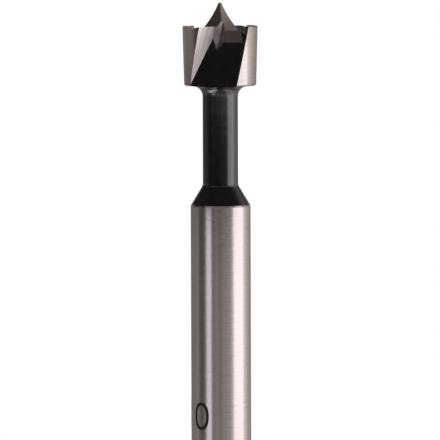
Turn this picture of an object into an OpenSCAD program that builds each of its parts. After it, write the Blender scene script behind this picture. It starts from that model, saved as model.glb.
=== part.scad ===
// Forstner bit for a drill: shank, slim neck and cutting head turned and ground from one bar of steel.
// The shank end stands on the XY plane and the centre point looks along +Z. The bit cuts right-handed.
// Around the axis, 0 degrees is +X and the near side, with one flute in it, is at -90 degrees.

/* [Shank] */
// Diameter of the shank, the part that a chuck grips
shank_d = 8; // [6:0.1:12]
// Length of the straight shank
shank_l = 63; // [30:0.5:100]
// Chamfer round the end of the shank
end_chamfer = 0.5; // [0.1:0.05:1]
// Chamfer where the shank meets the shoulder cone
shoulder_break = 0.08; // [0.05:0.01:0.4]

/* [Neck] */
// Diameter of the neck
neck_d = 4.7; // [3:0.05:5.4]
// Length of the neck, from the shoulder cone to the underside of the head
neck_l = 13.05; // [6:0.05:40]
// Slope of the shoulder cone against the axis, in degrees
shoulder_angle = 31; // [20:1:50]
// Radius where the neck runs into the shoulder cone
shoulder_fillet = 1.2; // [0.5:0.1:3]
// Radius where the neck runs into the underside of the head
head_fillet = 1.35; // [0.4:0.05:1.6]

/* [Head] */
// Diameter over the rim, which is the bore that the bit cuts
head_d = 10; // [9:0.1:16]
// Height of the head, from the foot of its wall to the rim's leading edge
head_l = 8; // [6:0.1:14]
// Radius that the wall loses from the rim down to its foot
back_taper = 0.2; // [0:0.01:0.4]
// Slope of the underside against a flat face, in degrees
underside_angle = 5; // [1:0.5:15]
// Chamfer round the foot of the wall
foot_chamfer = 0.15; // [0.05:0.01:0.4]
// Width of the break on the rim's outer edge
rim_break = 0.16; // [0.02:0.01:0.3]
// Thickness of the rim that stands round the flanks
rim_t = 0.5; // [0.3:0.05:1.2]
// Width of the flat on the rim's top, between that break and the inner bevel
rim_land = 0.12; // [0.05:0.01:0.2]
// Slope of the rim's inner bevel against the axis, in degrees
rim_bevel = 40; // [20:1:50]
// Height of the rim's leading edge above the lips
rim_proud = 0.12; // [0.05:0.01:0.4]
// Fall of the rim's top behind its leading edge, in degrees
rim_relief = 1.2; // [0.3:0.1:5]

/* [Lips and flutes] */
// Turn of each rake face away from the near side, in degrees
rake_turn = 45; // [35:1:55]
// Lean of the rake faces and the heels, in degrees
flute_lean = 13.4; // [5:0.1:18]
// Distance that each lip runs ahead of the axis
lip_lead = 1; // [0.4:0.02:1.2]
// Turn of each heel away from the near side, in degrees
heel_turn = 58; // [45:1:70]
// Distance from the axis to each heel at the height of the lips
heel_back = 1.46; // [0.8:0.02:2]
// Turn of each flute's floor away from the near side, in degrees
floor_turn = 12.5; // [0:0.5:25]
// Distance from the axis to the floor at the foot of the head
floor_foot = 3.6; // [3:0.05:4.4]
// Distance from the axis to the floor at the height of the lips
floor_top = 1.62; // [1.2:0.02:2.4]
// Relief of the flank behind each lip, in degrees
flank_relief = 10; // [5:0.5:15]
// Distance behind each lip at which the rim starts to stand up
rim_gap = 1.4; // [0.6:0.05:1.8]
// Rounding of the rim's top corner behind that gap
rim_round = 0.3; // [0.1:0.01:0.35]

/* [Gash and thinning] */
// Depth of the gash ground into each floor beside the centre point
gash_depth = 0.52; // [0.2:0.01:0.6]
// Angle of the V-shaped gash across its valley, in degrees
gash_angle = 115; // [80:1:140]
// Radius of the wheel whose edge leaves the gash
gash_wheel = 4.6; // [3:0.1:10]
// Thickness of that wheel
gash_w = 1.7; // [1:0.05:2.5]
// Distance from the lips down to the middle of the gash
gash_drop = 1; // [0.5:0.05:2]
// Shift of the gash along the floor, towards the heel
gash_shift = 0.4; // [0:0.02:0.6]
// Slant of the gash's valley on the floor, in degrees
gash_slant = 9; // [0:0.5:15]
// Distance from the lips down to the lower edge of the thinned patch of floor
thin_drop = 2.1; // [1:0.05:3]
// Extra slope of the thinned patch over the floor's own, in degrees
thin_slope = 14; // [5:0.5:20]
// Shift of the thinned patch along the floor, towards the heel
thin_shift = 0.7; // [0.5:0.02:1.4]
// Distance from the lips down to the upper edge of that patch
thin_top = 0.44; // [0:0.02:0.8]

/* [Centre point] */
// Height of the point's tip above the rim
point_h = 3; // [1.5:0.1:5]
// Width of the point across its flat sides at the height of the lips
point_w = 2.9; // [2:0.05:3.4]
// Radius of the wheel that leaves the point's sides hollow
point_wheel = 14; // [8:0.5:40]
// Turn of the point's near edge away from the near side, in degrees
point_turn = 8; // [0:1:20]
// Width of the blunt end of the tip
tip_w = 0.26; // [0.05:0.01:0.4]

/* [Hidden] */

$fn = 96;
near = -90;
steel = [0.55, 0.52, 0.51];

shank_r = shank_d / 2;
neck_r = neck_d / 2;
rim_r = head_d / 2;
foot_r = rim_r - back_taper;

shoulder_l = (shank_r - neck_r) / tan(shoulder_angle);
underside_h = (foot_r - foot_chamfer - neck_r) * tan(underside_angle);
z_neck = shank_l + shoulder_l;
z_underside = z_neck + neck_l;
z_foot = z_underside + underside_h;
z_head = z_foot + foot_chamfer;

// Heights in the head's own frame, which starts at the top of the foot chamfer
wall_l = head_l - foot_chamfer;
lip_z = wall_l - rim_proud;
tip_z = wall_l + point_h;
below_foot = -head_l;

rake_at = near + rake_turn;
heel_at = near - heel_turn;
floor_at = near - floor_turn;
floor_slope = atan((floor_foot - floor_top) / lip_z);
flank_r = rim_r - rim_t;

// A cutting block larger than the whole head
block = 4 * (head_d + head_l + point_h);

// Block that fills one side of a plane through a point.
// The plane faces the angle turn round the axis and tips its face down by lean.
module side_of(turn, lean, at) {
    translate(at)
        rotate([0, 0, turn])
            rotate([0, lean, 0])
                translate([0, -block / 2, -block / 2])
                    cube(block);
}

// Point at a distance from the axis in one direction, at a height
function out_at(turn, distance, z) = [distance * cos(turn), distance * sin(turn), z];

// Half profile of the shank with its end chamfer, its top edge break and the shoulder cone
module shank_profile() {
    break_drop = shoulder_break / tan(shoulder_angle);
    polygon([
        [0, 0],
        [shank_r - end_chamfer, 0],
        [shank_r, end_chamfer],
        [shank_r, shank_l - shoulder_break],
        [shank_r - shoulder_break, shank_l + break_drop],
        [neck_r, z_neck],
        [0, z_neck]
    ]);
}

// Half profile of the neck, carried into the head
module neck_profile() {
    translate([0, z_neck])
        square([neck_r, neck_l + head_l / 2]);
}

// Hollow round where the neck runs into the shoulder cone
module shoulder_fillet_profile() {
    reach = shoulder_fillet * tan(shoulder_angle / 2);
    cone_x = neck_r + reach * sin(shoulder_angle);
    cone_z = z_neck - reach * cos(shoulder_angle);
    difference() {
        polygon([[0, cone_z], [cone_x, cone_z], [neck_r, z_neck + reach], [0, z_neck + reach]]);
        translate([neck_r + shoulder_fillet, z_neck + reach])
            circle(shoulder_fillet);
    }
}

// Hollow round where the neck runs into the underside of the head
module head_fillet_profile() {
    reach = head_fillet * tan((90 - underside_angle) / 2);
    face_x = neck_r + reach * cos(underside_angle);
    face_z = z_underside + reach * sin(underside_angle);
    difference() {
        polygon([[0, z_underside - reach], [neck_r, z_underside - reach], [face_x, face_z], [0, face_z]]);
        translate([neck_r + head_fillet, z_underside - reach])
            circle(head_fillet);
    }
}

// Half profile of the head's blank, from its underside to the rim
module head_profile() {
    polygon([
        [0, z_underside],
        [neck_r, z_underside],
        [foot_r - foot_chamfer, z_foot],
        [foot_r, z_head],
        [rim_r, z_head + wall_l - rim_break],
        [rim_r - rim_break, z_head + wall_l],
        [0, z_head + wall_l]
    ]);
}

// Turned blank of the whole bit, before the head is milled and ground
module blank() {
    rotate_extrude() {
        shank_profile();
        neck_profile();
        shoulder_fillet_profile();
        head_fillet_profile();
        head_profile();
    }
}

// What is above a plane that falls away behind the near lip, from a height over the lip
module above_relief(angle, z) {
    side_of(rake_at + 180, angle - 90, out_at(rake_at, lip_lead, z));
}

// Half of the head that belongs to the near lip
module lip_half() {
    side_of(180 + point_turn, 0, [0, 0, 0]);
}

// What is cut from the top of the head behind the near lip: flank, gap and the slope of the rim's top
module relief_cut() {
    intersection() {
        lip_half();
        union() {
            above_relief(rim_relief, wall_l);
            intersection() {
                above_relief(flank_relief, lip_z);
                union() {
                    cylinder(r = flank_r, h = block);
                    rim_bevel_cone();
                    side_of(rake_at, 0, out_at(rake_at, lip_lead - rim_gap, lip_z));
                    rim_corner_cut();
                }
            }
        }
    }
}

// Cone whose side is the bevel inside the rim
module rim_bevel_cone() {
    depth = 2 * rim_t;
    top_r = rim_r - rim_break - rim_land;
    widening = depth * tan(rim_bevel);
    translate([0, 0, wall_l - depth])
        cylinder(r1 = top_r - widening, r2 = top_r + widening, h = 2 * depth);
}

// What rounds the rim's top corner behind the gap
module rim_corner_cut() {
    corner_z = wall_l - rim_gap * tan(rim_relief);
    translate(out_at(rake_at, lip_lead - rim_gap, corner_z))
        rotate([0, 0, rake_at + 180])
            difference() {
                translate([-rim_round, -block / 2, -rim_round])
                    cube([2 * rim_round, block, 3 * rim_round]);
                translate([rim_round, 0, -rim_round])
                    rotate([90, 0, 0])
                        cylinder(r = rim_round, h = 2 * block, center = true);
            }
}

// Near flute: open to the front of the rake face, the heel and the floor
module flute_cut() {
    intersection() {
        side_of(rake_at, flute_lean, out_at(rake_at, lip_lead, lip_z));
        side_of(heel_at, -flute_lean, out_at(heel_at, -heel_back, lip_z));
        side_of(floor_at, -floor_slope, out_at(floor_at, floor_top, lip_z));
    }
}

// Places things on the near flute's floor at a distance below the lips.
// There X points out of the floor, Y along it to the heel and Z up its slope.
module on_floor(drop) {
    z = lip_z - drop;
    translate(out_at(floor_at, floor_top + drop * tan(floor_slope), z))
        rotate([0, 0, floor_at])
            rotate([0, -floor_slope, 0])
                children();
}

// Gash: the V-shaped edge of a wheel sunk into the floor beside the centre point
module gash_cut() {
    cheek = gash_w / 2;
    cheek_r = gash_wheel - cheek / tan(gash_angle / 2);
    on_floor(gash_drop)
        rotate([-gash_slant, 0, 0])
            translate([gash_wheel - gash_depth, gash_shift, 0])
                rotate([90, 0, 0]) {
                    cylinder(r1 = gash_wheel, r2 = cheek_r, h = cheek);
                    mirror([0, 0, 1])
                        cylinder(r1 = gash_wheel, r2 = cheek_r, h = cheek);
                }
}

// Thinned patch: the floor's upper part beside the gash, ground back as far up as the point's root
module thin_cut() {
    intersection() {
        on_floor(thin_drop)
            rotate([0, -thin_slope, 0])
                translate([0, thin_shift, -block / 2])
                    cube(block);
        side_of(heel_at, -flute_lean, out_at(heel_at, -heel_back, lip_z));
        translate([-block / 2, -block / 2, lip_z - thin_top - block])
            cube(block);
    }
}

// Centre point: a four-sided pyramid with hollow sides and a small blunt end
module centre_point() {
    chord = [tip_w / 2 - point_w / 2, tip_z - lip_z];
    half_chord = norm(chord) / 2;
    out_dir = [chord[1], -chord[0]] / norm(chord);
    middle = [(tip_w + point_w) / 4, (tip_z + lip_z) / 2];
    wheel = middle + out_dir * sqrt(point_wheel ^ 2 - half_chord ^ 2);
    root_z = lip_z - 2 * flank_r * tan(flank_relief);
    difference() {
        translate([0, 0, root_z])
            cylinder(r = flank_r, h = tip_z - root_z);
        for (side = [0 : 3])
            rotate([0, 0, near + point_turn + 45 + 90 * side])
                translate([wheel[0], 0, wheel[1]])
                    rotate([90, 0, 0])
                        cylinder(r = point_wheel, h = block, center = true);
    }
}

module forstner_bit() {
    color(steel)
        difference() {
            union() {
                difference() {
                    blank();
                    translate([0, 0, z_head])
                        for (turn = [0, 180])
                            rotate([0, 0, turn])
                                relief_cut();
                }
                translate([0, 0, z_head])
                    centre_point();
            }
            translate([0, 0, z_head])
                for (turn = [0, 180])
                    rotate([0, 0, turn]) {
                        intersection() {
                            flute_cut();
                            translate([-block / 2, -block / 2, below_foot])
                                cube(block);
                        }
                        gash_cut();
                        thin_cut();
                    }
        }
}

forstner_bit();
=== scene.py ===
# %% [markdown]
# # A forstner bit, from turned blank to ground edges
# A forstner bit cuts clean flat-bottomed holes. It is one bar of tool steel: a shank for the chuck,
# a slim neck, and a head with two lips, two pieces of rim and a centre point. The form is already
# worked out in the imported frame. This lesson gives it its finishes: bright ground steel where a wheel
# has passed, and black oxide where it hasn't.

# %% Load the frame
import math

import bmesh
import bpy
import numpy as np
from mathutils import Matrix, Vector


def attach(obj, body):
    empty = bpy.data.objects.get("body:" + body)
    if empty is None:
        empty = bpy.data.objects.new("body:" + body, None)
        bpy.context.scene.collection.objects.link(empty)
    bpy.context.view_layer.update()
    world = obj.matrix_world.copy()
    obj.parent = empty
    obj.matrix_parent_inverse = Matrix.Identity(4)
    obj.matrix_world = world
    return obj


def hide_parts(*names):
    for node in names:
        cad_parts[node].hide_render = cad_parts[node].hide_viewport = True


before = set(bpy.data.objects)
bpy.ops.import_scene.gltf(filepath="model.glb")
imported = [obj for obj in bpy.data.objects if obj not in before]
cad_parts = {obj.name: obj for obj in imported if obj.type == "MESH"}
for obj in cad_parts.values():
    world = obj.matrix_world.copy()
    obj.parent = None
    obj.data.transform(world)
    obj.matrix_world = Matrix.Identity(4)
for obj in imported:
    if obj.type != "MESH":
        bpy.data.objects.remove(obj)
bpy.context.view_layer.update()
MM = 0.001
scene = bpy.context.scene

# %% [markdown]
# ## The camera
# The picture was taken with a long lens from a little above the rim, square to the near flute. A far
# camera with a narrow field keeps the sides of the shank almost parallel, as they are there. The bit
# leans a fifth of a degree in the picture, so the camera is rolled by that much and the bit stays upright.

# %% Camera
PHOTO_PIXELS = 440
PIXELS_PER_MM = 7.5
SENSOR = 36.0
camera_distance = 600 * MM
camera_height = 103 * MM
aim = Vector((-0.087 * MM, 0, 61.05 * MM))
camera_roll = math.radians(0.19)


def camera_matrix(place, target, roll):
    """Axes of a camera that looks from place to target, with its up side turned clockwise by roll."""
    forward = (target - place).normalized()
    right = forward.cross(Vector((0, 0, 1))).normalized()
    up = right.cross(forward)
    rolled_right = right * math.cos(roll) - up * math.sin(roll)
    rolled_up = up * math.cos(roll) + right * math.sin(roll)
    axes = Matrix((rolled_right, rolled_up, -forward)).transposed().to_4x4()
    return Matrix.Translation(place) @ axes


lens = bpy.data.cameras.new("camera")
camera = bpy.data.objects.new("camera", lens)
scene.collection.objects.link(camera)
camera_place = Vector((aim.x, -camera_distance, camera_height))
camera.matrix_world = camera_matrix(camera_place, aim, camera_roll)
frame_width = PHOTO_PIXELS / PIXELS_PER_MM * MM
lens.sensor_width = SENSOR
lens.lens = SENSOR * (aim - camera_place).length / frame_width
lens.clip_start = 0.01
scene.camera = camera
print("Lens", round(lens.lens), "mm for a field", round(frame_width / MM, 1), "mm wide")

# %% [markdown]
# ## The studio
# Polished steel has hardly a colour of its own: it shows the room. The bands on the shank are a tall
# soft box on the right, a small reflector low on the left, a dark gap beside it, and grey card elsewhere.
# Each is set up here as a piece of the scene. The soft box is an area lamp. Everything else is card that
# glows with painted greys in place of lamplight, and is there for the reflections alone, so the camera
# doesn't see it.
#
# A few small functions come first. They make a mesh from arrays, join a grid of points with quads, start an
# empty set of shader nodes, and find the direction for a turn round the bit.

# %% Helpers for meshes and nodes
def new_piece(name, points, faces):
    """Mesh object at the origin from an array of points and a list of arrays of faces."""
    mesh = bpy.data.meshes.new(name)
    mesh.from_pydata(points.tolist(), [], [face for group in faces for face in group.tolist()])
    mesh.update()
    piece = bpy.data.objects.new(name, mesh)
    scene.collection.objects.link(piece)
    return piece


def grid_faces(rows, columns, wrap=False):
    """Quads of a grid whose points are stored row by row; wrap joins the last column to the first."""
    row, column = np.meshgrid(np.arange(rows - 1), np.arange(columns - (not wrap)), indexing="ij")
    here = row * columns + column
    beside = row * columns + (column + 1) % columns
    return np.stack([here, beside, beside + columns, here + columns], -1).reshape(-1, 4)


def node_tree(owner):
    """Emptied node tree of a material or a world, with short ways to add and to join nodes."""
    owner.use_nodes = True
    tree = owner.node_tree
    tree.nodes.clear()

    def add(kind, **settings):
        node = tree.nodes.new("ShaderNode" + kind)
        for key, value in settings.items():
            setattr(node, key, value)
        return node

    return add, tree.links.new


def near_direction(turn):
    """Unit vector away from the axis, turned to the right of the near side by so many degrees."""
    angle = math.radians(turn)
    return Vector((math.sin(angle), -math.cos(angle), 0))


# %% [markdown]
# A lamp that fills the right part of the view from the shank makes its broad bright band. How wide it must
# be follows from the two turns between which the shank should see it.

# %% Soft box
def soft_box(name, turn_from, turn_to, low, high, distance, radiance, colour):
    """Area lamp that fills the directions between two turns, from one height to another.
    Its power is radiance times pi times its area."""
    half_angle = math.radians((turn_to - turn_from) / 2)
    width = 2 * distance * math.tan(half_angle)
    lamp = bpy.data.lights.new(name, "AREA")
    lamp.shape = "RECTANGLE"
    lamp.size = width
    lamp.size_y = high - low
    lamp.energy = radiance * math.pi * width * (high - low)
    lamp.color = colour
    box = bpy.data.objects.new(name, lamp)
    scene.collection.objects.link(box)
    out = near_direction((turn_from + turn_to) / 2)
    box.rotation_euler = out.to_track_quat("Z", "Y").to_euler()
    box.location = out * distance + Vector((0, 0, (low + high) / 2))
    box.visible_camera = False
    print(name, round(width, 3), "m wide,", round(lamp.energy, 3), "W")
    return box


SOFT_BOX_COLOUR = (0.955, 0.98, 1.06)
soft_box("right_soft_box", turn_from=50, turn_to=95, low=0.0, high=0.18, distance=0.19, radiance=0.89,
         colour=SOFT_BOX_COLOUR)

# %% [markdown]
# Round the bit stands a bowl of card. Each part of the bit looks into it at a height of its own: the
# ground flats and fillets see its near floor, the shank sees the lowest part of its wall, and then come
# neck, head and centre point. So the card has one grey for each of these. The card glows with these greys,
# so its light is painted: the wall glows brightest on the right and the near floor on the left. The outer
# floor has the shank's grey too, so that the shank looks much the same from a little higher.

# %% Bowl of card
CARD_TINT = (1.0, 0.90, 0.87, 1)
GLOWING_REFLECTOR_TINT = (1.0, 0.97, 1.04, 1)
# Each row is a turn to the right of the near side, then the card's grey on the floor and at the heights
# that the shank, the neck, the head and the centre point see
# These greys are the strengths at which the card glows, so they are painted light
CARD_GREYS = np.array([
    (-180, 0.25, 0.30, 0.20, 0.25, 0.05),
    (-150, 0.25, 0.27, 0.18, 0.30, 0.05),
    (-125, 0.25, 0.31, 0.16, 0.31, 0.05),
    (-98, 1.60, 0.40, 0.14, 0.36, 0.10),
    (-87, 3.40, 0.15, 0.07, 0.16, 0.10),
    (-70, 3.40, 0.14, 0.03, 0.09, 0.06),
    (-60, 1.20, 0.40, 0.02, 0.05, 0.05),
    (-36, 0.28, 0.33, 0.02, 0.04, 0.05),
    (-29, 0.24, 0.31, 0.02, 0.03, 0.04),
    (-14, 0.22, 0.46, 0.02, 0.04, 0.04),
    (-4, 0.22, 0.29, 0.03, 0.06, 0.04),
    (4, 0.22, 0.42, 0.05, 0.08, 0.04),
    (34, 0.26, 0.57, 0.09, 0.15, 0.06),
    (43, 0.40, 0.80, 0.10, 0.32, 0.07),
    (49, 0.70, 1.40, 0.35, 0.85, 0.10),
    (95, 1.30, 1.45, 1.25, 1.45, 0.50),
    (112, 0.70, 0.98, 0.85, 0.98, 0.60),
    (127, 0.30, 0.64, 0.55, 0.64, 0.35),
    (148, 0.25, 0.42, 0.35, 0.40, 0.08),
    (180, 0.25, 0.30, 0.20, 0.25, 0.05),
])
# Each row is a radius and a height in millimetres, and which of the greys holds there
BOWL_PROFILE = np.array([
    (4.2, 0.2, 1), (70, 2, 1), (100, 2, 2), (205, 2, 2), (215, 4, 2), (215, 49, 2),
    (215, 55, 3), (215, 66, 3), (215, 71, 4), (215, 100, 4), (215, 125, 5), (215, 165, 5),
])
# Each row is a radius and a height in millimetres, and the grey all round
BOWL_TOP = np.array([(215, 260, 0.05), (215, 480, 0.05), (150, 500, 0.60), (10, 500, 0.60)])
BOWL_STEPS = 240


def curved_card(name, turn, profile, greys, closed, tint=CARD_TINT, dip=0):
    """Card swept round the axis: a profile of radii and heights carried through an array of turns.
    It hangs lower by dip times one minus the cosine of the turn. Each point glows with its own grey, for
    the reflections alone."""
    angle = np.radians(turn)
    radius, height = profile[:, :1] * MM, profile[:, 1:2] * MM
    height = height - dip * MM * (1 - np.cos(angle))
    points = np.stack([np.sin(angle) * radius, -np.cos(angle) * radius, height], -1)
    card = new_piece(name, points.reshape(-1, 3), [grid_faces(len(profile), len(turn), wrap=closed)])
    shade = card.data.attributes.new("grey", "FLOAT", "POINT")
    shade.data.foreach_set("value", greys.astype(np.float32).ravel())
    paper = bpy.data.materials.new(name)
    add, join = node_tree(paper)
    tone = add("Attribute", attribute_name="grey")
    glow = add("Emission")
    glow.inputs["Color"].default_value = tint
    out = add("OutputMaterial")
    join(tone.outputs["Fac"], glow.inputs["Strength"])
    join(glow.outputs[0], out.inputs["Surface"])
    paper.cycles.emission_sampling = "NONE"
    card.data.materials.append(paper)
    card.visible_camera = False
    card.visible_diffuse = False
    card.visible_shadow = False
    print(name, "has", len(card.data.polygons), "faces")
    return card


turn = np.linspace(-180, 180, BOWL_STEPS, endpoint=False)
grey_columns = BOWL_PROFILE[:, 2].astype(int)
wall_greys = [np.interp(turn, CARD_GREYS[:, 0], CARD_GREYS[:, column]) for column in grey_columns]
top_greys = np.repeat(BOWL_TOP[:, 2:], BOWL_STEPS, 1)
bowl = np.vstack([BOWL_PROFILE, BOWL_TOP])
curved_card("card_bowl", turn, bowl, np.vstack([wall_greys, top_greys]), closed=True)

# %% [markdown]
# Three smaller glowing cards hang inside the bowl. The reflector is low and glows brightly, a painted
# stand-in for a lit reflector, and makes the light band on the left of the shank. Two strips hang higher up.
# The one in front lights the thin edge break at the top of the shank, and the one behind, which glows only
# at its two ends, lights the edges of the right-hand rim.

# %% Hanging cards
STRIP_STEPS = 60


def hung_card(name, radius, low, high, turns, greys, **more):
    """Upright strip of card at one radius, between two heights in millimetres. Its grey runs evenly from
    each of the given turns to the next."""
    turn = np.linspace(turns[0], turns[-1], STRIP_STEPS)
    shades = np.tile(np.interp(turn, turns, greys), (2, 1))
    return curved_card(name, turn, np.array([(radius, low), (radius, high)]), shades, closed=False, **more)


hung_card("left_glowing_reflector", 45, 0, 60, [-56, -36], [1.10, 1.36], tint=GLOWING_REFLECTOR_TINT)
hung_card("front_strip", 210, 220, 238, [-72, -60, -30, -15, 25, 52],
          [0.30, 0.90, 0.90, 0.65, 0.65, 1.20], dip=59)
hung_card("back_strip", 210, 200, 290, [140, 158, 166, 196, 204, 222],
          [0.80, 0.80, 0.05, 0.05, 0.80, 0.80])

# %% [markdown]
# The floor is a pale disc that keeps the bit's shadow near the middle and runs out into plain white at
# its edge. The world is white to the camera and in the steel, and dimmer as a light.

# %% World and floor
WORLD_LIGHT = 0.55
FLOOR_RADIUS = 0.24
FLOOR_HUB = 0.0004
FLOOR_RINGS, FLOOR_SPOKES = 12, 96

world = bpy.data.worlds.new("white_room")
scene.world = world
world.cycles.sampling_method = "NONE"
add, join = node_tree(world)
rays = add("LightPath")
seen = add("Math", operation="ADD")
shown = add("Math", operation="ADD", use_clamp=True)
level = add("MapRange")
level.inputs["To Min"].default_value = WORLD_LIGHT
air = add("Background")
out = add("OutputWorld")
join(rays.outputs["Is Camera Ray"], seen.inputs[0])
join(rays.outputs["Is Glossy Ray"], seen.inputs[1])
join(seen.outputs[0], shown.inputs[0])
join(rays.outputs["Is Transmission Ray"], shown.inputs[1])
join(shown.outputs[0], level.inputs["Value"])
join(level.outputs["Result"], air.inputs["Strength"])
air.inputs["Color"].default_value = (1, 1, 1, 1)
join(air.outputs[0], out.inputs["Surface"])

turn, radius = np.meshgrid(np.linspace(0, 2 * np.pi, FLOOR_SPOKES, endpoint=False),
                           np.linspace(FLOOR_HUB, FLOOR_RADIUS, FLOOR_RINGS))
rings = np.stack([radius * np.cos(turn), radius * np.sin(turn), 0 * turn], -1).reshape(-1, 3)
hub = np.arange(FLOOR_SPOKES)[None, ::-1]
floor = new_piece("floor", rings, [grid_faces(FLOOR_RINGS, FLOOR_SPOKES, wrap=True), hub])
floor.data.flip_normals()
paint = bpy.data.materials.new("pale_floor")
add, join = node_tree(paint)
place = add("TexCoord")
reach = add("VectorMath", operation="LENGTH")
edge = add("MapRange", interpolation_type="SMOOTHSTEP")
edge.inputs["From Min"].default_value = 0.25 * FLOOR_RADIUS
edge.inputs["From Max"].default_value = 0.95 * FLOOR_RADIUS
matt = add("BsdfDiffuse")
matt.inputs["Color"].default_value = (0.9, 0.9, 0.9, 1)
glow = add("Emission")
blend = add("MixShader")
out = add("OutputMaterial")
join(place.outputs["Object"], reach.inputs[0])
join(reach.outputs["Value"], edge.inputs["Value"])
join(edge.outputs["Result"], blend.inputs["Fac"])
join(matt.outputs[0], blend.inputs[1])
join(glow.outputs[0], blend.inputs[2])
join(blend.outputs[0], out.inputs["Surface"])
paint.cycles.emission_sampling = "NONE"
floor.data.materials.append(paint)
print("Floor disc", 2 * FLOOR_RADIUS, "m across, of", len(floor.data.polygons), "faces")

# %% [markdown]
# ## The steel body
# The frame holds the bit as loose triangles. The body here is a copy with its doubled points merged, so
# that light runs on smoothly round the shank and breaks only at real edges. Every face then gets one of
# the finishes by where it is and which way it looks.

# %% Body with merged points
MERGE_DISTANCE = 0.001 * MM

knit = bmesh.new()
knit.from_mesh(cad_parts["forstner_bit"].data)
loose_count = len(knit.verts)
bmesh.ops.remove_doubles(knit, verts=knit.verts, dist=MERGE_DISTANCE)
open_edges = sum(len(edge.link_faces) != 2 for edge in knit.edges)
merged = bpy.data.meshes.new("merged_points")
knit.to_mesh(merged)
knit.free()
points = np.empty(len(merged.vertices) * 3)
merged.vertices.foreach_get("co", points)
points = points.reshape(-1, 3)
triangles = np.empty(len(merged.loops), int)
merged.loops.foreach_get("vertex_index", triangles)
triangles = triangles.reshape(-1, 3)
bpy.data.meshes.remove(merged)
body = new_piece("steel_body", points, [triangles])
print(loose_count, "loose points merged to", len(points), "with", len(triangles), "triangles and",
      open_edges, "open edges")

# %% [markdown]
# What lies below the top of the shank is ground, and so is the round wall of the head. In the head, the rake
# faces and the two walls of each flute are known by the direction in which they look. Neck and shoulder stay
# black, and whatever is left in the head is a ground flat.

# %% Finishes by place and direction
ROUND, RAKE, FLAT, BLACK = range(4)
SHANK_TOP = 63.3 * MM
HEAD_FOOT = 79.0 * MM
WALL_RADIUS = 4.6 * MM
# Where the rake face and the two black walls of the near flute look
RAKE_LOOK = (0.688, -0.688, -0.232)
HEEL_LOOK = (-0.825, -0.515, 0.232)
FLUTE_FLOOR_LOOK = (-0.210, -0.945, 0.250)
LOOK_SPREAD = math.radians(2)

count = len(body.data.polygons)
normals = np.empty(count * 3)
body.data.polygons.foreach_get("normal", normals)
normals = normals.reshape(-1, 3)
faces = points[triangles]
centres = faces.mean(1)
least_radius = np.hypot(faces[..., 0], faces[..., 1]).min(1)

# Both flutes are alike, so what looks away from the near side is turned by half a turn for the tests
half_turn = np.where(normals[:, 1] > 0, -1.0, 1.0)[:, None] * [1, 1, 0] + [0, 0, 1]
turned = normals * half_turn


def looks_along(direction):
    """Faces whose normal, turned to the near side, lies within a small angle of a direction."""
    unit = np.array(direction) / np.linalg.norm(direction)
    return turned @ unit > math.cos(LOOK_SPREAD)


in_head = centres[:, 2] > HEAD_FOOT
round_wall = (least_radius > WALL_RADIUS) & in_head
rake = looks_along(RAKE_LOOK) & in_head
flute = (looks_along(HEEL_LOOK) | looks_along(FLUTE_FLOOR_LOOK)) & in_head
shank = centres[:, 2] < SHANK_TOP
black = flute | ~(in_head | shank)
bright = np.where(rake, RAKE, np.where(shank | round_wall, ROUND, FLAT))
finish = np.where(black, BLACK, bright)
body.data.polygons.foreach_set("material_index", finish.astype(np.int32))
print("Faces that are round, rake, flat and black:", np.bincount(finish))

# %% [markdown]
# A wheel leaves a crisp line wherever it runs out, so an edge stays sharp where two faces meet at a clear
# angle, and also wherever one finish ends and the next begins. All the other edges only part the triangles
# of one smooth wall.

# %% Smooth walls and sharp edges
SHARP_ANGLE = math.radians(15)
body.data.polygons.foreach_set("use_smooth", np.ones(count, bool))
body.data.set_sharp_from_angle(angle=SHARP_ANGLE)
edge_of = np.empty(len(body.data.loops), int)
body.data.loops.foreach_get("edge_index", edge_of)
least = np.full(len(body.data.edges), BLACK)
most = np.zeros(len(body.data.edges), int)
np.minimum.at(least, edge_of, np.repeat(finish, 3))
np.maximum.at(most, edge_of, np.repeat(finish, 3))
sharp = np.empty(len(body.data.edges), bool)
body.data.edges.foreach_get("use_edge_sharp", sharp)
borders = least < most
body.data.edges.foreach_set("use_edge_sharp", sharp | borders)
print((sharp | borders).sum(), "sharp edges, of which", borders.sum(), "part two finishes")


# %% [markdown]
# ## Ground steel
# Every ground face carries fine lines that show which way the wheel passed. They run round the shank and
# the rim, because those were turned under the wheel, and up the flats of the head. Each corner of the
# mesh stores its place across the lines and along them, and the material draws noise out along the
# second. Broader waves under the lines are left from hardening, and make the edges of a reflection wander.

# %% Grain: how the grinding marks lie
# On the near rake face, the level direction and the steepest one, and how far the marks lean between them
RAKE_LEVEL = np.array([0.707, 0.707, 0])
RAKE_UP = np.array([0.164, -0.164, 0.973])
RAKE_LEAN = 0.127
# A level face has no slope to follow, so a trace of the X direction is added and gives its marks a side
LEVEL_TRACE = np.array([1e-6, 0, 0])


def grain_of():
    """For each corner, in millimetres, its place across the grinding marks and along them.
    Round faces are marked round the axis, rake faces up along the strip and other flats up their slope."""
    spots = faces / MM
    turn = np.arctan2(spots[..., 1], spots[..., 0])
    middle = np.arctan2(centres[:, 1], centres[:, 0])[:, None]
    turn = middle + (turn - middle + np.pi) % (2 * np.pi) - np.pi
    around = np.stack([spots[..., 2], turn * np.hypot(spots[..., 0], spots[..., 1]), 0 * turn], -1)
    folded = spots * half_turn[:, None, :]
    along = RAKE_UP + RAKE_LEAN * RAKE_LEVEL
    along /= np.linalg.norm(along)
    across = RAKE_LEVEL - (RAKE_LEVEL @ along) * along
    strip = np.stack([folded @ across, folded @ along, 0 * turn], -1)
    side = np.cross([0, 0, 1.0], normals) + LEVEL_TRACE
    side /= np.linalg.norm(side, axis=1)[:, None]
    slope = np.cross(normals, side)
    flat = np.stack([(spots * side[:, None]).sum(-1), (spots * slope[:, None]).sum(-1), 0 * turn], -1)
    wheel_marks = np.where((finish == FLAT)[:, None, None], flat, around)
    return np.where(rake[:, None, None], strip, wheel_marks)


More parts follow.
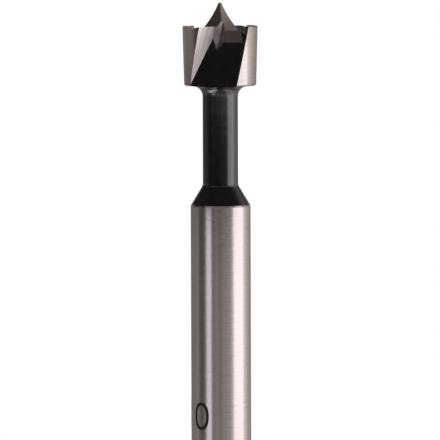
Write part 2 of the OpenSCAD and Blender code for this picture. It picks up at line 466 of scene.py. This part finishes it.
grain = body.data.attributes.new("grain", "FLOAT_VECTOR", "CORNER")
grain.data.foreach_set("vector", grain_of().astype(np.float32).ravel())
print("Grain on", len(grain.data), "corners")


# %% Ground steel
MARK_STRETCH = 30
ROUGH_SPREAD = 0.05


def ground_steel(name, marks, dark, bright, rough, depth, wavy):
    """Bare steel off a grinding wheel. Noise drawn out along the marks varies its shade and its
    roughness and cuts shallow lines. marks is the count of marks in a millimetre, depth their depth and
    wavy the height of the broad waves under them."""
    steel = bpy.data.materials.new(name)
    add, join = node_tree(steel)
    lie = add("Attribute", attribute_name="grain")
    stretch = add("Mapping")
    stretch.inputs["Scale"].default_value = (marks, marks / MARK_STRETCH, 1)
    lines = add("TexNoise")
    lines.inputs["Scale"].default_value = 1
    lines.inputs["Detail"].default_value = 4
    shade = add("ValToRGB")
    shade.color_ramp.elements[0].position = 0.3
    shade.color_ramp.elements[0].color = (*dark, 1)
    shade.color_ramp.elements[1].position = 0.7
    shade.color_ramp.elements[1].color = (*bright, 1)
    gloss = add("MapRange")
    gloss.inputs["To Min"].default_value = rough - ROUGH_SPREAD
    gloss.inputs["To Max"].default_value = rough + ROUGH_SPREAD
    cut = add("Bump")
    cut.inputs["Strength"].default_value = 1
    cut.inputs["Distance"].default_value = depth
    place = add("TexCoord")
    waves = add("TexNoise")
    waves.inputs["Scale"].default_value = 1800
    waves.inputs["Detail"].default_value = 2
    wave = add("Bump")
    wave.inputs["Strength"].default_value = 1
    wave.inputs["Distance"].default_value = wavy
    metal = add("BsdfPrincipled")
    metal.inputs["Metallic"].default_value = 1
    out = add("OutputMaterial")
    join(lie.outputs["Vector"], stretch.inputs["Vector"])
    join(stretch.outputs[0], lines.inputs["Vector"])
    join(lines.outputs["Fac"], shade.inputs["Fac"])
    join(lines.outputs["Fac"], gloss.inputs["Value"])
    join(lines.outputs["Fac"], cut.inputs["Height"])
    join(shade.outputs["Color"], metal.inputs["Base Color"])
    join(gloss.outputs["Result"], metal.inputs["Roughness"])
    join(place.outputs["Object"], waves.inputs["Vector"])
    join(waves.outputs["Fac"], wave.inputs["Height"])
    join(wave.outputs[0], cut.inputs["Normal"])
    join(cut.outputs[0], metal.inputs["Normal"])
    join(metal.outputs[0], out.inputs["Surface"])
    return steel


# %% [markdown]
# ## Black oxide
# A hot salt bath turns the skin of the steel to black iron oxide, which slows rust and holds a little oil.
# Neck, shoulder and flutes keep that skin. It is no longer bare metal, so it gets a dark base under a
# clear sheen, with a fine grit that makes the sheen uneven.

# %% Black oxide
def black_oxide(name):
    """Steel blackened in a hot salt bath: a dark skin with a soft, slightly uneven sheen."""
    skin = bpy.data.materials.new(name)
    add, join = node_tree(skin)
    place = add("TexCoord")
    cloud = add("TexNoise")
    cloud.inputs["Scale"].default_value = 900
    cloud.inputs["Detail"].default_value = 5
    shade = add("ValToRGB")
    shade.color_ramp.elements[0].position = 0.3
    shade.color_ramp.elements[0].color = (0.002, 0.0017, 0.0017, 1)
    shade.color_ramp.elements[1].position = 0.75
    shade.color_ramp.elements[1].color = (0.005, 0.0043, 0.0043, 1)
    gloss = add("MapRange")
    gloss.inputs["To Min"].default_value = 0.10
    gloss.inputs["To Max"].default_value = 0.19
    grit = add("Bump")
    grit.inputs["Strength"].default_value = 1
    grit.inputs["Distance"].default_value = 12e-6
    coat = add("BsdfPrincipled")
    coat.inputs["IOR"].default_value = 1.85
    out = add("OutputMaterial")
    join(place.outputs["Object"], cloud.inputs["Vector"])
    join(cloud.outputs["Fac"], shade.inputs["Fac"])
    join(cloud.outputs["Fac"], gloss.inputs["Value"])
    join(cloud.outputs["Fac"], grit.inputs["Height"])
    join(shade.outputs["Color"], coat.inputs["Base Color"])
    join(gloss.outputs["Result"], coat.inputs["Roughness"])
    join(grit.outputs[0], coat.inputs["Normal"])
    join(coat.outputs[0], out.inputs["Surface"])
    return skin


# %% [markdown]
# ## Four finishes on one body
# The shank and the rim are ground fine. The rake faces come off a coarse wheel, so they are rougher and
# scatter more light, and their base colour is painted much lighter than the other ground steel, a painted
# highlight. Flanks, gash and point lie between the two, and all the rest is black.

# %% Finishes on the body
ground_round = ground_steel("ground_round", marks=9, dark=(0.42, 0.39, 0.38), bright=(0.50, 0.465, 0.455),
                            rough=0.19, depth=2e-6, wavy=9e-6)
# The rake's light base colour is a painted highlight, far above the shank's steel
ground_rake_painted_bright = ground_steel("ground_rake_painted_bright", marks=2.6, dark=(0.60, 0.56, 0.55), bright=(0.98, 0.93, 0.92),
                           rough=0.46, depth=40e-6, wavy=4e-6)
ground_flat = ground_steel("ground_flat", marks=7, dark=(0.40, 0.37, 0.36), bright=(0.46, 0.43, 0.42),
                           rough=0.30, depth=5e-6, wavy=4e-6)
for material in (ground_round, ground_rake_painted_bright, ground_flat, black_oxide("black_oxide")):
    body.data.materials.append(material)
print("Finishes:", [material.name for material in body.data.materials])
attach(body, "root")
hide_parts("forstner_bit")

# %% [markdown]
# ## The size mark
# A bit carries its bore on the shank, so that it can be read when it stands in a rack. A laser draws the
# figures: it heats the skin of the steel until it turns dark, and takes nothing away. Here each figure is
# one stroke, a flat ribbon carried along a path and wrapped round the shank. The nought is a rounded oval,
# the one a stem with a flag. They stand proud of the steel by less than a hair, so that no faces fight.

# %% Strokes wrapped round the shank
SHANK_RADIUS = 4.0
STROKE = 0.42
MARK_TOP = SHANK_RADIUS + 0.008
MARK_ROOT = SHANK_RADIUS - 0.05


def stroke_sides(path, closed):
    """Mitred side direction at each point: the mean of the normals of the two pieces of path that meet
    there, drawn out so that the stroke keeps its width round a corner."""
    pieces = np.diff(np.vstack([path[-1:], path, path[:1]]), axis=0)
    normals = np.stack([-pieces[:, 1], pieces[:, 0]], -1) / np.linalg.norm(pieces, axis=1)[:, None]
    before, after = normals[:-1].copy(), normals[1:].copy()
    if not closed:
        before[0], after[-1] = after[0], before[-1]
    return (before + after) / (1 + (before * after).sum(1))[:, None]


def stroke(path, closed):
    """Ribbon along a path of (arc, height) points in millimetres. Four rails run beside the path, two at the
    top radius and two at the root; arc over radius is the turn to the right of the near side."""
    side = stroke_sides(path, closed) * STROKE / 2
    flat = np.stack([path + side, path - side, path - side, path + side], 1)
    radius = np.array([MARK_TOP, MARK_TOP, MARK_ROOT, MARK_ROOT])
    angle = flat[..., 0] / SHANK_RADIUS
    points = np.stack([np.sin(angle) * radius, -np.cos(angle) * radius, flat[..., 1]], -1) * MM
    count = len(path)
    if closed:
        return points.reshape(-1, 3), [grid_faces(count + 1, 4, wrap=True) % (4 * count)]
    last = 4 * count - 1
    ends = np.array([(3, 2, 1, 0), (last - 3, last - 2, last - 1, last)])
    return points.reshape(-1, 3), [grid_faces(count, 4, wrap=True), ends]


# %% [markdown]
# The two figures give the bore in millimetres. They read from left to right round the shank, and the nought
# is the one that the camera sees.

# %% The figures one and nought
FIGURE_WIDTH, FIGURE_HEIGHT, FIGURE_PITCH = 1.98, 3.27, 3.4
MARK_TURN, MARK_HEIGHT = math.radians(-41.8), 35.07
OVAL_POWER = 2.3
OVAL_STEPS, ONE_STEPS = 72, 17

sweep = np.linspace(0, 2 * np.pi, OVAL_STEPS, endpoint=False)
across, upward = np.cos(sweep), np.sin(sweep)
oval = np.stack([np.sign(across) * abs(across) ** (2 / OVAL_POWER) * FIGURE_WIDTH / 2,
                 np.sign(upward) * abs(upward) ** (2 / OVAL_POWER) * FIGURE_HEIGHT / 2], -1)
# The tip of the flag, the top of the stem and its foot, with heights as shares of the figure's height
knots = np.array([(-0.62, 0.32), (0, 0.5), (0, -0.5)]) * (1, FIGURE_HEIGHT)
steps = np.linspace(0, 2, ONE_STEPS)
one = np.stack([np.interp(steps, [0, 1, 2], knots[:, axis]) for axis in (0, 1)], -1)
nought_place = np.array([MARK_TURN * SHANK_RADIUS, MARK_HEIGHT])
nought_points, nought_faces = stroke(oval + nought_place, True)
one_points, one_faces = stroke(one + nought_place - (FIGURE_PITCH, 0), False)
mark = new_piece("size_mark", np.vstack([nought_points, one_points]),
                 nought_faces + [group + len(nought_points) for group in one_faces])
print("Size mark of", len(mark.data.polygons), "faces")


# %% [markdown]
# The mark is skin that was heated, not paint. It is dull and brown-black, and slightly uneven where the
# pulses of the beam overlap.

# %% Laser mark
def laser_mark(name):
    """Heat-darkened steel: brown-black and dull, a little uneven where the beam has pulsed."""
    burn = bpy.data.materials.new(name)
    add, join = node_tree(burn)
    place = add("TexCoord")
    pulses = add("TexNoise")
    pulses.inputs["Scale"].default_value = 6000
    pulses.inputs["Detail"].default_value = 2
    shade = add("ValToRGB")
    shade.color_ramp.elements[0].position = 0.35
    shade.color_ramp.elements[0].color = (0.003, 0.002, 0.002, 1)
    shade.color_ramp.elements[1].position = 0.7
    shade.color_ramp.elements[1].color = (0.012, 0.008, 0.007, 1)
    dull = add("BsdfPrincipled")
    dull.inputs["Roughness"].default_value = 0.55
    dull.inputs["IOR"].default_value = 1.3
    out = add("OutputMaterial")
    join(place.outputs["Object"], pulses.inputs["Vector"])
    join(pulses.outputs["Fac"], shade.inputs["Fac"])
    join(shade.outputs["Color"], dull.inputs["Base Color"])
    join(dull.outputs[0], out.inputs["Surface"])
    return burn


mark.data.materials.append(laser_mark("laser_mark"))
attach(mark, "root")

# %% [markdown]
# ## View transform
# The picture is shown through the standard view transform.

# %% View transform
scene.view_settings.view_transform = "Standard"
